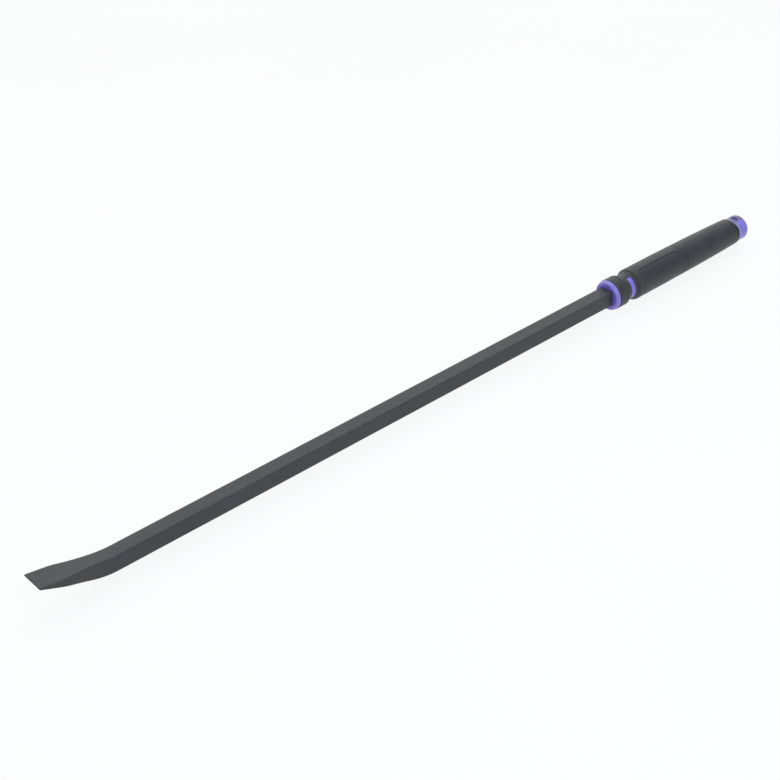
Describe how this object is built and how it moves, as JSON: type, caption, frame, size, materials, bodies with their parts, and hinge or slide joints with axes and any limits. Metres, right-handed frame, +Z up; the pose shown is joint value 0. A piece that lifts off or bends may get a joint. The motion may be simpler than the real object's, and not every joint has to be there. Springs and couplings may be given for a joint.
{
  "type": "pry bar",
  "caption": "Long straight pry bar of square steel with a flared chisel tip bent slightly up, a soft round handle on a hard core, and an end cap with a hang hole.",
  "frame": {"origin": "middle of the bar's length and width, on the surface that the underside of the grip lies on", "axes": "+X from the chisel tip to the end cap, +Z up on the side the tip is bent towards"},
  "size_m": [1.067, 0.0408, 0.0427],
  "materials": {
    "pry_bar": "black oxide, satin",
    "handle_core": "satin moulded nylon",
    "front_grip": "matte soft moulding",
    "rear_grip": "matte soft moulding",
    "end_cap": "satin moulded nylon",
    "front_tang_pin": "ground",
    "rear_tang_pin": "ground"
  },
  "bodies": {
    "root": {"pry_bar": "pry_bar", "handle_core": "handle_core", "front_grip": "front_grip", "rear_grip": "rear_grip", "end_cap": "end_cap", "front_tang_pin": "front_tang_pin", "rear_tang_pin": "rear_tang_pin"}
  },
  "joints": []
}
